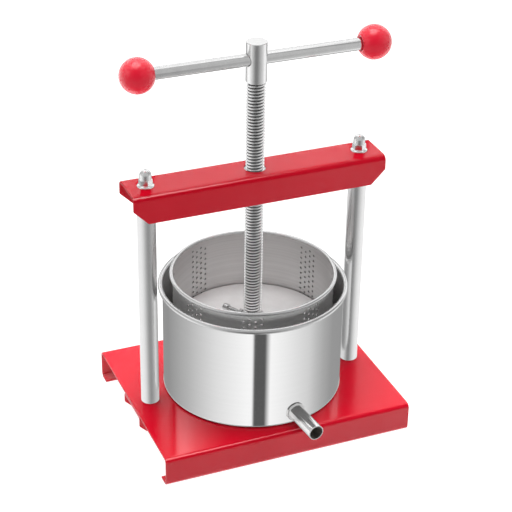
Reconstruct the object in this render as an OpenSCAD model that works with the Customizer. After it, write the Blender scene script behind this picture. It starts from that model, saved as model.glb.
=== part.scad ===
// Tabletop fruit press: a folded steel base and crossbeam tied by two posts,
// a juice barrel with a spout, a perforated basket, and a screw with a pressing
// disc that is driven by a sliding tommy bar.
// Millimetres. +X runs along the crossbeam, -Y is the front, +Z is up.
// The origin is on the ground, at the middle of the whole footprint.

/* [Base] */
// Thickness of the folded steel sheet
sheet_t = 2.5; // [2:0.1:3]
// Width of the base, along the crossbeam
base_w = 285; // [280:1:320]
// Depth of the base, front to back
base_d = 226; // [214:1:250]
// Height of the base
base_h = 34; // [30:1:42]
// Outer radius of the base's folds
base_fold_r = 5.5; // [3.5:0.5:7]
// Length of the lips turned in under the base
base_lip = 16; // [10:1:24]
// Width of the stiffening channel under the base
stiffener_w = 54; // [48:1:64]
// Height of the stiffening channel
stiffener_h = 20; // [16:1:24]
// Corner cut at the ends of the stiffener's flanges
stiffener_cut = 8; // [4:1:11]
// Outer radius of the stiffener's folds
stiffener_fold_r = 4; // [3.5:0.25:6]

/* [Frame] */
// Distance of each post's centre from the base's end
post_inset = 21.5; // [17:0.5:23]
// Height of the posts between base and crossbeam
post_h = 262; // [250:0.5:300]
// Diameter of the posts
post_d = 20; // [17:0.5:24]
// Wall of the post tubes
post_wall = 1.5; // [1:0.25:2.5]
// How far the crossbeam reaches past each post's centre
beam_end = 21; // [17:0.5:30]
// Width of the crossbeam
beam_w = 48; // [46:1:56]
// Height of the crossbeam
beam_h = 32; // [30:1:40]
// Corner cut at the ends of the crossbeam's flanges
beam_cut = 16; // [8:1:22]
// Outer radius of the crossbeam's folds
beam_fold_r = 6.5; // [3.5:0.5:7.5]
// Clearance hole for the screw in the crossbeam
beam_hole_d = 23; // [22.5:0.25:26]
// Diameter of the tie rods inside the posts
tie_d = 8; // [6:0.5:9]

/* [Nuts] */
// Width across flats of the tie rod nuts
nut_flats = 13; // [12.5:0.25:15]
// Diameter of the nuts' flange
nut_flange_d = 18; // [17.5:0.5:20]
// Thickness of the nuts' flange
nut_flange_t = 2; // [1.5:0.25:3]
// Height of the hexagon above the flange
nut_hex_h = 6; // [5:0.5:8]
// Diameter of the cap nut's dome
dome_d = 12.6; // [11.5:0.1:12.8]
// Straight part of the dome below its round top
dome_straight = 4; // [2.5:0.5:6]
// Width across flats of the screw's nut
screw_nut_flats = 32; // [30:0.5:34]
// Height of the screw's nut
screw_nut_h = 26; // [20:1:27]

/* [Barrel] */
// Outer diameter of the barrel's wall
barrel_d = 198.5; // [195:0.5:200]
// Height of the barrel to the top of its rim
barrel_h = 127; // [115:1:131]
// Sheet thickness of barrel and basket
tub_t = 0.8; // [0.6:0.1:1.2]
// Thickness of the barrel's and basket's floors
floor_t = 1.2; // [1:0.1:2]
// Diameter of the barrel's rolled rim
barrel_bead_d = 5.6; // [4:0.2:6.4]
// Height of the wall's bottom edge above the base
barrel_lift = 2; // [1:0.25:3]
// Width of the floor's raised rim, which carries the wall
floor_rim_w = 5; // [3:0.5:7]

/* [Spout] */
// Outer diameter of the spout
spout_d = 17; // [14:0.5:18]
// Wall of the spout
spout_wall = 1; // [0.8:0.1:2]
// Step down in radius of the spout's root, where it passes its collar and the wall
spout_step = 0.25; // [0.1:0.05:0.4]
// Height of the spout's centre above the base
spout_z = 15.5; // [14:0.5:24]
// Distance from the barrel's centre to the spout's end
spout_reach = 145; // [130:1:165]
// Turn of the spout from straight ahead, towards +X
spout_turn = 6; // [-20:0.1:20]
// Diameter of the collar round the spout's root
spout_collar_d = 21.6; // [20:0.2:24]
// Thickness of the collar in front of the barrel
spout_collar_t = 3; // [2:0.25:5]

/* [Basket] */
// Outer diameter of the basket's wall
basket_d = 176; // [170:0.5:180]
// Height of the basket to the top of its rim
basket_h = 139; // [130:0.5:145]
// Diameter of the basket's rolled rim
basket_bead_d = 4.3; // [3:0.1:5]
// Diameter of the perforations
hole_d = 2.2; // [1.6:0.1:3]
// Number of groups of perforations round the wall
hole_groups = 8; // [4:1:8]
// Columns in a group
hole_columns = 4; // [2:1:5]
// Perforations in a column
hole_rows = 17; // [4:1:18]
// Spacing of the columns along the wall
column_pitch = 6.4; // [5:0.1:7.5]
// Spacing of the perforations in a column
row_pitch = 6.6; // [5:0.1:6.6]
// Drop from the rim's top to the first perforation
first_row = 9.2; // [8:0.1:11]
// Radial gap between each floor and the wall round it
seat_gap = 0.1; // [0.05:0.05:0.2]

/* [Pressing disc] */
// Thickness of the disc
disc_t = 3; // [2:0.25:6]
// Radial clearance from the disc to the basket's wall
disc_gap = 1.2; // [0.8:0.1:3]
// Height of the disc above the basket's floor at rest
disc_rest = 67.1; // [40:0.1:90]
// Diameter of the collar that holds the screw's foot
collar_d = 28; // [26:0.5:32]
// Height of that collar
collar_h = 12.5; // [12:0.5:18]
// Height of the retaining screw's centre above the disc
retainer_z = 6.5; // [6:0.25:7]
// Direction of the retaining screw, from +X towards +Y
retainer_turn = 121; // [60:1:180]
// Diameter of the retaining screw's shank
retainer_d = 5; // [4:0.5:6]
// Distance from the screw's axis to the end of the retaining screw's head
retainer_reach = 39.5; // [34:0.5:50]
// Diameter of the retaining screw's head
retainer_head_d = 8; // [7:0.25:10]
// Length of the retaining screw's head
retainer_head_l = 6; // [4:0.5:8]
// Width across flats of the retaining screw's lock nut
lock_nut_flats = 8; // [7:0.25:9]
// Thickness of that lock nut
lock_nut_t = 4; // [3:0.25:5]

/* [Screw] */
// Outside diameter of the screw's thread
screw_d = 20; // [18:0.5:21]
// Distance from one thread ridge to the next
thread_pitch = 3.5; // [3:0.25:5]
// Depth of the thread
thread_depth = 1.4; // [1:0.1:2]
// Length of the screw, from its foot to the head
screw_l = 290; // [250:1:320]
// Diameter of the plain foot inside the disc's collar
foot_d = 15; // [14:0.5:16]
// Depth of the groove that holds the retaining screw's tip
foot_groove = 2; // [1.5:0.1:3]
// Radial running clearance between screw and nut, and foot and collar
running = 0.05; // [0.02:0.01:0.1]

/* [Handle] */
// Diameter of the screw's head
head_d = 22; // [21.5:0.5:26]
// Length of the screw's head
head_l = 43.5; // [38:0.5:50]
// Drop from the head's top to the bar's centre
bar_drop = 19; // [14:0.5:20]
// Diameter of the bar
bar_d = 13; // [10:0.5:13.5]
// Radial clearance of the bar in its hole
bar_gap = 0.5; // [0.2:0.1:1]
// Distance between the centres of the two knobs
knob_spacing = 259.6; // [220:0.2:300]
// Diameter of the ball knobs
knob_d = 37; // [32:0.5:42]
// Diameter of the flat where the bar enters a knob
knob_flat_d = 18; // [17:0.25:20]
// How far the bar is slid towards +X at rest
bar_shift = 2.5; // [-2.5:0.5:2.5]

/* [Hidden] */
$fn = 96;

// Colours
red = [0.86, 0.13, 0.17];
steel = [0.78, 0.78, 0.79];
satin = [0.66, 0.65, 0.64];
bright = [0.9, 0.9, 0.92];

// Past a surface, so that a cut goes clean through
past = 1;
// Slack of a plain hole round its rod
rod_gap = 0.2;

// The screw's axis stands behind the origin, because the spout reaches forward
spout_tip_y = spout_reach * cos(spout_turn) + spout_d / 2 * sin(abs(spout_turn));
axis_y = (spout_tip_y - base_d / 2) / 2;

// Widths of the fixed frame
post_spacing = base_w - 2 * post_inset;
beam_l = post_spacing + 2 * beam_end;

// Heights of the fixed frame
plate_under_z = base_h - sheet_t;
web_under_z = plate_under_z - sheet_t;
beam_under_z = base_h + post_h;
beam_top_z = beam_under_z + sheet_t;
beam_bottom_z = beam_top_z - beam_h;

// Barrel and basket
barrel_r = barrel_d / 2;
barrel_inner_r = barrel_r - tub_t;
basket_z = base_h + floor_t;
basket_r = basket_d / 2;
basket_inner_r = basket_r - tub_t;
basket_floor_top_z = basket_z + floor_t;
column_step = column_pitch / basket_r * 180 / PI;
group_step = 360 / hole_groups;

// Pressing disc and screw
disc_r = basket_inner_r - disc_gap;
disc_z = basket_floor_top_z + disc_rest;
disc_top_z = disc_z + disc_t;
collar_top_z = disc_top_z + collar_h;
retainer_axis_z = disc_top_z + retainer_z;
screw_r = screw_d / 2;
thread_z = collar_top_z + 0.3;
head_z = disc_top_z + screw_l;
head_top_z = head_z + head_l;
bar_z = head_top_z - bar_drop;
bar_hole_r = bar_d / 2 + bar_gap;
// The screw's top spigot stops short of the bar's hole
spigot_d = 14;
spigot_top_z = bar_z - bar_hole_r - 3;
spigot_seat = 0.1;
knob_r = knob_d / 2;
knob_flat = sqrt(pow(knob_r, 2) - pow(knob_flat_d / 2, 2));
knob_bore_end = 5;

// Everything that stands on the screw's axis
module on_axis() {
    translate([0, axis_y, 0]) children();
}

// A rectangle with round corners, standing on the first axis
module round_rect(w, h, r) {
    translate([-w / 2, r]) square([w, h - 2 * r]);
    translate([-w / 2 + r, 0]) square([w - 2 * r, h]);
    for (x = [-w / 2 + r, w / 2 - r], y = [r, h - r])
        translate([x, y]) circle(r);
}

// The section of a sheet folded round a box, whole
module folded_ring(w, h, t, r) {
    difference() {
        round_rect(w, h, r);
        translate([0, t]) round_rect(w - 2 * t, h - 2 * t, r - t);
    }
}

// A section drawn in Y and Z, run along X
module along_x(length) {
    rotate([90, 0, 90]) linear_extrude(length, center = true) children();
}

// An open channel with its web on top; z is the height of the web's top
module channel(length, w, h, z, cut, fold_r) {
    difference() {
        translate([0, 0, z - 2 * h]) along_x(length) difference() {
            folded_ring(w, 2 * h, sheet_t, fold_r);
            translate([-w, -past]) square([2 * w, h + past]);
        }
        translate([0, 0, z - h]) channel_end_cuts(length, w, cut);
    }
}

// Corner cuts at the low corners of a channel's two flanges, which end at z = 0
module channel_end_cuts(length, w, cut) {
    for (side = [-1, 1])
        translate([side * length / 2, w / 2 + past, 0])
            rotate([90, 0, 0])
            linear_extrude(w + 2 * past)
            polygon([[-side * cut, -past], [-side * cut, 0], [0, cut],
                [side * past, cut], [side * past, -past]]);
}

// Holes for the two tie rods through a flat web
module tie_holes(z, t) {
    for (side = [-1, 1])
        translate([side * post_spacing / 2, 0, z - past])
            cylinder(r = tie_d / 2 + rod_gap, h = t + 2 * past);
}

module base_plate() {
    color(red) difference() {
        translate([0, axis_y, 0]) along_x(base_w) difference() {
            folded_ring(base_d, base_h, sheet_t, base_fold_r);
            translate([-base_d / 2 + base_lip, -past])
                square([base_d - 2 * base_lip, sheet_t + 2 * past]);
        }
        on_axis() tie_holes(plate_under_z, sheet_t);
    }
}

module base_stiffener() {
    color(red) on_axis() difference() {
        channel(base_w, stiffener_w, stiffener_h, plate_under_z, stiffener_cut,
            stiffener_fold_r);
        tie_holes(web_under_z, sheet_t);
    }
}

module crossbeam() {
    color(red) on_axis() difference() {
        channel(beam_l, beam_w, beam_h, beam_top_z, beam_cut, beam_fold_r);
        tie_holes(beam_under_z, sheet_t);
        translate([0, 0, beam_under_z - past])
            cylinder(d = beam_hole_d, h = sheet_t + 2 * past);
    }
}

// A hexagon with its corners turned off at both ends
module hex_body(flats, h) {
    corner_r = flats / sqrt(3);
    turned = corner_r - flats / 2;
    intersection() {
        cylinder(r = corner_r, h = h, $fn = 6);
        rotate_extrude() polygon([
            [0, 0], [flats / 2, 0], [corner_r, turned * 0.6],
            [corner_r, h - turned * 0.6], [flats / 2, h], [0, h]
        ]);
    }
}

module screw_nut() {
    color(steel) on_axis() translate([0, 0, beam_under_z - screw_nut_h]) difference() {
        hex_body(screw_nut_flats, screw_nut_h);
        translate([0, 0, -past]) cylinder(r = screw_r + running, h = screw_nut_h + 2 * past);
    }
}

module post(side) {
    color(bright) on_axis() translate([side * post_spacing / 2, 0, base_h]) difference() {
        cylinder(d = post_d, h = post_h);
        translate([0, 0, -past]) cylinder(d = post_d - 2 * post_wall, h = post_h + 2 * past);
    }
}

// Free length of rod past each nut's seat
tie_top = nut_flange_t + nut_hex_h + 1;
tie_foot = nut_flange_t + nut_hex_h + 2;

module tie_rod(side) {
    color(steel) on_axis() translate([side * post_spacing / 2, 0, web_under_z - tie_foot])
        cylinder(d = tie_d, h = beam_top_z + tie_top - web_under_z + tie_foot);
}

// Flange with a sloped top under the hexagon
module nut_flange() {
    rim = 0.8;
    rotate_extrude() polygon([
        [0, 0], [nut_flange_d / 2, 0], [nut_flange_d / 2, rim],
        [nut_flats / 2, nut_flange_t + 0.4], [0, nut_flange_t + 0.4]
    ]);
}

module cap_nut(side) {
    hex_z = nut_flange_t;
    dome_z = hex_z + nut_hex_h;
    color(bright) on_axis() translate([side * post_spacing / 2, 0, beam_top_z]) difference() {
        union() {
            nut_flange();
            translate([0, 0, hex_z]) hex_body(nut_flats, nut_hex_h);
            translate([0, 0, dome_z - past]) cylinder(d = dome_d, h = dome_straight + past);
            translate([0, 0, dome_z + dome_straight]) sphere(d = dome_d);
        }
        translate([0, 0, -past]) cylinder(r = tie_d / 2 + running, h = tie_top + 0.5 + past);
    }
}

module lower_nut(side) {
    color(steel) on_axis()
        translate([side * post_spacing / 2, 0, web_under_z]) mirror([0, 0, 1]) difference() {
            union() {
                nut_flange();
                translate([0, 0, nut_flange_t]) hex_body(nut_flats, nut_hex_h);
            }
            translate([0, 0, -past])
                cylinder(r = tie_d / 2 + running, h = nut_flange_t + nut_hex_h + 2 * past);
        }
}

// Section of a tub's wall with its rim rolled outwards; the curl ends short of the wall
module tub_section(inner_r, h, bead_d) {
    bead_r = bead_d / 2;
    translate([inner_r, 0]) square([tub_t, h - bead_r]);
    translate([inner_r + bead_r, h - bead_r]) difference() {
        circle(bead_r);
        circle(bead_r - tub_t);
        // The curl's open end, low beside the wall
        translate([-bead_r + tub_t, -bead_r - past]) square([bead_r * 0.7, bead_r + past]);
    }
}

// A tub's wall with its rim, from its bottom edge up
module tub_wall(inner_r, h, bead_d) {
    rotate_extrude() tub_section(inner_r, h, bead_d);
}

// Turns something built along -Y to the spout's direction, at its height
module at_spout() {
    on_axis() rotate([0, 0, spout_turn]) translate([0, 0, base_h + spout_z])
        rotate([90, 0, 0]) children();
}

// The spout's root stands a little inside the wall and shoulders on its collar
spout_root = barrel_inner_r - 2;
spout_root_r = spout_d / 2 - spout_step;
spout_shoulder = barrel_r + spout_collar_t;

module barrel_wall() {
    color(bright) difference() {
        on_axis() translate([0, 0, base_h + barrel_lift])
            tub_wall(barrel_inner_r, barrel_h - barrel_lift, barrel_bead_d);
        at_spout() translate([0, 0, spout_root - past])
            cylinder(r = spout_root_r + running, h = 12);
    }
}

// A pressed floor: its middle stands on the base, its rim steps up to the wall
module barrel_floor() {
    rim_r = barrel_inner_r - seat_gap;
    step_r = rim_r - floor_rim_w;
    bend = floor_t * tan(22.5);
    color(bright) on_axis() translate([0, 0, base_h]) rotate_extrude() polygon([
        [0, 0], [step_r - barrel_lift, 0], [step_r, barrel_lift], [rim_r, barrel_lift],
        [rim_r, barrel_lift + floor_t], [step_r - bend, barrel_lift + floor_t],
        [step_r - barrel_lift - bend, floor_t], [0, floor_t]
    ]);
}

module spout_tube() {
    color(steel) at_spout() difference() {
        rotate_extrude() polygon([
            [0, spout_root], [spout_root_r, spout_root], [spout_root_r, spout_shoulder],
            [spout_d / 2, spout_shoulder], [spout_d / 2, spout_reach], [0, spout_reach]
        ]);
        translate([0, 0, spout_root - past])
            cylinder(d = spout_d - 2 * spout_wall, h = spout_reach - spout_root + 2 * past);
    }
}

module spout_collar() {
    bevel = 0.9;
    r = spout_collar_d / 2;
    bore_r = spout_root_r + running;
    color(steel) difference() {
        at_spout() rotate_extrude() polygon([
            [bore_r, barrel_inner_r], [r, barrel_inner_r], [r, spout_shoulder - bevel],
            [r - bevel, spout_shoulder], [bore_r, spout_shoulder]
        ]);
        on_axis() translate([0, 0, base_h])
            cylinder(r = barrel_r + running, h = 2 * spout_z, $fn = 960);
    }
}

// One group's perforations, centred on +X; every other column sits half a step higher
module hole_group() {
    for (column = [0 : hole_columns - 1], row = [0 : hole_rows - 1])
        rotate([0, 0, (column - (hole_columns - 1) / 2) * column_step])
            translate([basket_inner_r - past, 0,
                basket_z + basket_h - first_row - (row + (column % 2 == 0 ? 0.5 : 0)) * row_pitch])
            rotate([0, 90, 0]) cylinder(d = hole_d, h = tub_t + 2 * past, $fn = 24);
}

module basket_wall() {
    color(satin) on_axis() difference() {
        translate([0, 0, basket_z]) tub_wall(basket_inner_r, basket_h, basket_bead_d);
        for (group = [0 : hole_groups - 1])
            rotate([0, 0, (group + 0.5) * group_step]) hole_group();
    }
}

module basket_floor() {
    color(satin) on_axis() translate([0, 0, basket_z])
        cylinder(r = basket_inner_r - seat_gap, h = floor_t);
}

// Places something built along +X in the retaining screw's direction
module at_retainer() {
    on_axis() rotate([0, 0, retainer_turn]) translate([0, 0, retainer_axis_z])
        rotate([0, 90, 0]) children();
}

module pressing_disc() {
    edge = disc_t / 3;
    color(satin) on_axis() translate([0, 0, disc_z]) rotate_extrude() union() {
        square([disc_r - edge, disc_t]);
        translate([0, edge]) square([disc_r, disc_t - 2 * edge]);
        for (y = [edge, disc_t - edge]) translate([disc_r - edge, y]) circle(edge);
    }
}

module disc_collar() {
    bevel = 2.5;
    color(steel) difference() {
        on_axis() translate([0, 0, disc_top_z]) rotate_extrude() polygon([
            [foot_d / 2 + running, 0], [collar_d / 2, 0], [collar_d / 2, collar_h - bevel],
            [collar_d / 2 - bevel, collar_h], [foot_d / 2 + running, collar_h]
        ]);
        at_retainer() cylinder(r = retainer_d / 2 + running, h = collar_d);
    }
}

retainer_tip_r = foot_d / 2 - foot_groove + 0.3;

module retaining_screw() {
    head_start = retainer_reach - retainer_head_l;
    bevel = 0.6;
    color(steel) at_retainer() {
        translate([0, 0, retainer_tip_r])
            cylinder(d = retainer_d, h = head_start - retainer_tip_r);
        translate([0, 0, head_start]) rotate_extrude() polygon([
            [0, 0], [retainer_head_d / 2 - bevel, 0], [retainer_head_d / 2, bevel],
            [retainer_head_d / 2, retainer_head_l - bevel],
            [retainer_head_d / 2 - bevel, retainer_head_l], [0, retainer_head_l]
        ]);
    }
}

module retaining_lock_nut() {
    color(steel) at_retainer() translate([0, 0, collar_d / 2 + 0.3]) difference() {
        hex_body(lock_nut_flats, lock_nut_t);
        translate([0, 0, -past])
            cylinder(r = retainer_d / 2 + running, h = lock_nut_t + 2 * past);
    }
}

// Half section of one thread ridge and the groove above it, from height z
function ridge(z) = let (flank = thread_depth * tan(15),
        flat = (thread_pitch - 2 * flank) / 2)
    [[screw_r, z], [screw_r, z + flat],
        [screw_r - thread_depth, z + flat + flank],
        [screw_r - thread_depth, z + 2 * flat + flank]];

ridge_count = floor((head_z - thread_z) / thread_pitch);

module press_screw() {
    foot_r = foot_d / 2;
    half_groove = retainer_d / 2 + 0.4;
    groove_r = foot_r - foot_groove;
    color(steel) on_axis() rotate_extrude() polygon(concat(
        [[0, disc_top_z], [foot_r, disc_top_z],
            [foot_r, retainer_axis_z - half_groove], [groove_r, retainer_axis_z - half_groove],
            [groove_r, retainer_axis_z + half_groove], [foot_r, retainer_axis_z + half_groove],
            [foot_r, thread_z]],
        [for (i = [0 : ridge_count - 1]) each ridge(thread_z + i * thread_pitch)],
        [[screw_r - thread_depth, head_z], [spigot_d / 2, head_z],
            [spigot_d / 2, spigot_top_z], [0, spigot_top_z]]
    ));
}

module screw_head() {
    bevel = 1.2;
    r = head_d / 2;
    color(steel) on_axis() difference() {
        rotate_extrude() polygon([
            [0, head_z], [r - bevel / 2, head_z], [r, head_z + bevel / 2],
            [r, head_top_z - bevel], [r - bevel, head_top_z], [0, head_top_z]
        ]);
        translate([0, 0, head_z - past])
            cylinder(r = spigot_d / 2 + spigot_seat, h = spigot_top_z - head_z + past + 0.3);
        translate([-head_d, 0, bar_z]) rotate([0, 90, 0]) cylinder(r = bar_hole_r, h = 2 * head_d);
    }
}

// Places something built along +X on the bar's centre line
module on_bar(x) {
    on_axis() translate([bar_shift + x, 0, bar_z]) rotate([0, 90, 0]) children();
}

module handle_bar() {
    bevel = 0.8;
    half = knob_spacing / 2 + knob_bore_end - 0.3;
    r = bar_d / 2;
    color(bright) on_bar(0) rotate_extrude() polygon([
        [0, -half], [r - bevel, -half], [r, -half + bevel],
        [r, half - bevel], [r - bevel, half], [0, half]
    ]);
}

// A ball with a flat, a countersink and a blind hole facing the bar
module knob(side) {
    sink = 1.2;
    bore_r = bar_d / 2 + 0.1;
    color(red) on_bar(side * knob_spacing / 2) mirror([0, 0, side > 0 ? 0 : 1]) difference() {
        sphere(r = knob_r);
        translate([0, 0, -knob_d]) cylinder(r = knob_r, h = knob_d - knob_flat);
        translate([0, 0, -knob_d]) cylinder(r = bore_r, h = knob_d + knob_bore_end);
        translate([0, 0, -knob_flat - 0.01])
            cylinder(r1 = bore_r + sink, r2 = bore_r, h = sink);
    }
}

base_plate();
base_stiffener();
crossbeam();
screw_nut();
post(-1);  // left_post
post(1);  // right_post
tie_rod(-1);  // left_tie_rod
tie_rod(1);  // right_tie_rod
cap_nut(-1);  // left_cap_nut
cap_nut(1);  // right_cap_nut
lower_nut(-1);  // left_lower_nut
lower_nut(1);  // right_lower_nut
barrel_wall();
barrel_floor();
spout_tube();
spout_collar();
basket_wall();
basket_floor();
pressing_disc();
disc_collar();
retaining_screw();
retaining_lock_nut();
press_screw();
screw_head();
handle_bar();
knob(-1);  // left_knob
knob(1);  // right_knob
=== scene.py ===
import math

import bmesh
import bpy
from mathutils import Matrix, Vector


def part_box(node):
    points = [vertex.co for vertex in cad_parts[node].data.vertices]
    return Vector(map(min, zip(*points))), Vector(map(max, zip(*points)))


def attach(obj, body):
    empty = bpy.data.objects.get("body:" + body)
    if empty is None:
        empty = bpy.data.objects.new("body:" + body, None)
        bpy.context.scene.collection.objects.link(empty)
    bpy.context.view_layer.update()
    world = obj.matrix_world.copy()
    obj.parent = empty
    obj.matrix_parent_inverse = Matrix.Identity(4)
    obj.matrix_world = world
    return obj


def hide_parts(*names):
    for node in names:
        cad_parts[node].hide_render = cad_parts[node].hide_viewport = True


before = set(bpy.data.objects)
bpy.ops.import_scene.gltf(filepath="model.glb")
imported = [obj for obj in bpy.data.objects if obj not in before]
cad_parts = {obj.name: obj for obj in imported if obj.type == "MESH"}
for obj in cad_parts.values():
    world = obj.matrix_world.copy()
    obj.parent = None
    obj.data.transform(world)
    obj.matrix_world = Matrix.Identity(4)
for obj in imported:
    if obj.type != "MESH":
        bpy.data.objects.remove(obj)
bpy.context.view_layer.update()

# Sizes are millimetres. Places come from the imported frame, the rest as in the part's source
MM = 0.001
LOW, HIGH = 0, 1


def end_of(node, axis, end):
    """Where a CAD node begins (LOW) or ends (HIGH) along an axis."""
    return round(getattr(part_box(node)[end], axis) / MM, 1)


def middle_of(node, axis):
    return sum(getattr(corner, axis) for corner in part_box(node)) / 2 / MM


def extent_of(node, axis):
    low, high = (getattr(corner, axis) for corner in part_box(node))
    return round((high - low) / MM, 1)


AXIS_Y = middle_of("base_plate", "y")
BASE_TOP = end_of("base_plate", "z", HIGH)
BEAM_TOP = end_of("crossbeam", "z", HIGH)
BARREL_TOP = end_of("barrel_wall", "z", HIGH)
BASKET_BOTTOM = end_of("basket_wall", "z", LOW)
BASKET_TOP = end_of("basket_wall", "z", HIGH)
DISC_TOP = end_of("pressing_disc", "z", HIGH)
HEAD_BOTTOM = end_of("screw_head", "z", LOW)
HEAD_TOP = end_of("screw_head", "z", HIGH)
BAR_Z = round(middle_of("handle_bar", "z"), 1)
BAR_SHIFT = round(middle_of("handle_bar", "x"), 1)

SHEET_T = 2.5
BASE_LIP = 16
BASE_FOLD_R = 5.5
POST_WALL = 1.5
TUB_T = 0.8
FLOOR_T = 1.2
SEAT_GAP = 0.1
BARREL_INNER_R = 98.45
BARREL_LIFT = 2
BARREL_BEAD = 5.6
BASKET_INNER_R = 87.2
BASKET_BEAD = 4.3
SCREW_R = 10
RUNNING = 0.05

ON_AXIS = Matrix.Translation((0, AXIS_Y, 0))
SHARP_ANGLE = 32
NUT_SHARP_ANGLE = 28
ROUND_SEGS = 96


# Mesh helpers

def build(name, shape, mat, body, nodes, place=ON_AXIS, sharp=SHARP_ANGLE):
    """A smooth-shaded piece from points in millimetres and faces, put on its CAD body."""
    verts, faces = shape
    mesh = bpy.data.meshes.new(name)
    mesh.from_pydata([tuple((place @ Vector(v)) * MM) for v in verts], [], faces)
    mesh.validate()
    bm = bmesh.new()
    bm.from_mesh(mesh)
    bmesh.ops.remove_doubles(bm, verts=bm.verts, dist=1e-7)
    bmesh.ops.recalc_face_normals(bm, faces=bm.faces)
    bm.to_mesh(mesh)
    bm.free()
    mesh.shade_smooth()
    mesh.set_sharp_from_angle(angle=math.radians(sharp))
    obj = bpy.data.objects.new(name, mesh)
    bpy.context.scene.collection.objects.link(obj)
    obj.data.materials.append(mat)
    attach(obj, body)
    if nodes:
        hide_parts(*nodes)
    return obj


def fillet(points, closed=False, steps=4):
    """A polyline with round corners; a point is (x, y) or (x, y, radius)."""
    out = []
    count = len(points)
    for i, point in enumerate(points):
        radius = point[2] if len(point) > 2 else 0
        corner = Vector(point[:2])
        if radius <= 0 or (not closed and i in (0, count - 1)):
            out.append(tuple(corner))
            continue
        back_way = (Vector(points[i - 1][:2]) - corner).normalized()
        next_way = (Vector(points[(i + 1) % count][:2]) - corner).normalized()
        half = math.acos(max(-1, min(1, back_way.dot(next_way)))) / 2
        centre = corner + (back_way + next_way).normalized() * (radius / math.sin(half))
        start = corner + back_way * (radius / math.tan(half)) - centre
        end = corner + next_way * (radius / math.tan(half)) - centre
        start_angle = math.atan2(start.y, start.x)
        turn = math.atan2(end.y, end.x) - start_angle
        turn = (turn + math.pi) % (2 * math.pi) - math.pi
        for k in range(steps + 1):
            a = start_angle + turn * k / steps
            out.append((centre.x + radius * math.cos(a), centre.y + radius * math.sin(a)))
    return out


def circle(radius, segs, x=0, y=0):
    """Points round a circle."""
    angles = [2 * math.pi * k / segs for k in range(segs)]
    return [(x + radius * math.cos(a), y + radius * math.sin(a)) for a in angles]


def revolve(profile, segs=ROUND_SEGS, closed=False):
    """Points and faces of a profile of (radius, height) turned about Z."""
    verts, faces, rows = [], [], []
    for r, z in profile:
        if r < 1e-6:
            rows.append([len(verts)] * segs)
            verts.append((0, 0, z))
        else:
            rows.append(list(range(len(verts), len(verts) + segs)))
            verts += [(x, y, z) for x, y in circle(r, segs)]
    pairs = list(zip(rows, rows[1:])) + ([(rows[-1], rows[0])] if closed else [])
    for a, b in pairs:
        for k in range(segs):
            n = (k + 1) % segs
            face = [a[k], a[n], b[n], b[k]]
            face = [v for i, v in enumerate(face) if v not in face[:i]]
            if len(face) > 2:
                faces.append(face)
    return verts, faces


def merged(*shapes):
    """Several (verts, faces) as one."""
    verts, faces = [], []
    for more_verts, more_faces in shapes:
        first = len(verts)
        verts += more_verts
        faces += [[i + first for i in face] for face in more_faces]
    return verts, faces


def sheet_section(path, fold_r):
    """Outline of a folded sheet; path runs along its outer face, the sheet lies on its right."""
    outer = fillet([(x, y, fold_r) for x, y in path], steps=8)
    inner = []
    for i, (x, y) in enumerate(path):
        point = Vector((x, y))
        ways = []
        if i:
            ways.append((point - Vector(path[i - 1])).normalized())
        if i + 1 < len(path):
            ways.append((Vector(path[i + 1]) - point).normalized())
        side = sum((Vector((way.y, -way.x)) for way in ways), Vector((0, 0)))
        inner.append((x + side.x * SHEET_T, y + side.y * SHEET_T, fold_r - SHEET_T))
    return outer + fillet(inner, steps=8)[::-1]


def along_x(section, length):
    """A (y, z) section run along X."""
    n = len(section)
    verts = [(x, y, z) for x in (-length / 2, length / 2) for y, z in section]
    faces = [[i, (i + 1) % n, n + (i + 1) % n, n + i] for i in range(n)]
    return verts, faces + [list(range(n))[::-1], list(range(n, 2 * n))]


def corner_cuts(obj, length, bottom, cut):
    """Takes the low corners off a channel's flanges at both ends."""
    bm = bmesh.new()
    bm.from_mesh(obj.data)
    for side in (-1, 1):
        point = Vector((side * (length / 2 - cut), 0, bottom)) * MM
        normal = Vector((side, 0, -1)).normalized()
        made = bmesh.ops.bisect_plane(
            bm, geom=bm.verts[:] + bm.edges[:] + bm.faces[:], dist=1e-7,
            plane_co=point, plane_no=normal, clear_outer=True)
        edges = [e for e in made["geom_cut"] if isinstance(e, bmesh.types.BMEdge)]
        bmesh.ops.holes_fill(bm, edges=edges, sides=0)
    bmesh.ops.recalc_face_normals(bm, faces=bm.faces)
    bm.to_mesh(obj.data)
    bm.free()


def bake(obj):
    """Applies a piece's modifiers."""
    bpy.context.view_layer.update()
    shown = obj.evaluated_get(bpy.context.evaluated_depsgraph_get())
    mesh = bpy.data.meshes.new_from_object(shown)
    obj.modifiers.clear()
    obj.data = mesh


def drill(obj, *holes):
    """Round holes through a piece: (matrix, radius, length), each along its matrix's Z."""
    for matrix, radius, length in holes:
        half = length / 2
        verts, faces = revolve([(0, -half), (radius, -half), (radius, half), (0, half)], 64)
        mesh = bpy.data.meshes.new("cutter")
        mesh.from_pydata([tuple((matrix @ Vector(v)) * MM) for v in verts], [], faces)
        cutter = bpy.data.objects.new("cutter", mesh)
        bpy.context.scene.collection.objects.link(cutter)
        mod = obj.modifiers.new("hole", "BOOLEAN")
        mod.object = cutter
        mod.operation = "DIFFERENCE"
        mod.solver = "EXACT"
        bake(obj)
        bpy.data.objects.remove(cutter)


def soften(obj, width):
    """Rounds the sharp edges and evens out the shading."""
    mod = obj.modifiers.new("edges", "BEVEL")
    mod.width = width * MM
    mod.segments = 3
    mod.limit_method = "ANGLE"
    mod.angle_limit = math.radians(SHARP_ANGLE)
    bake(obj)
    obj.data.shade_smooth()
    obj.data.set_sharp_from_angle(angle=math.radians(40))
    mod = obj.modifiers.new("normals", "WEIGHTED_NORMAL")
    mod.keep_sharp = True
    mod.weight = 80
    bake(obj)


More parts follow.
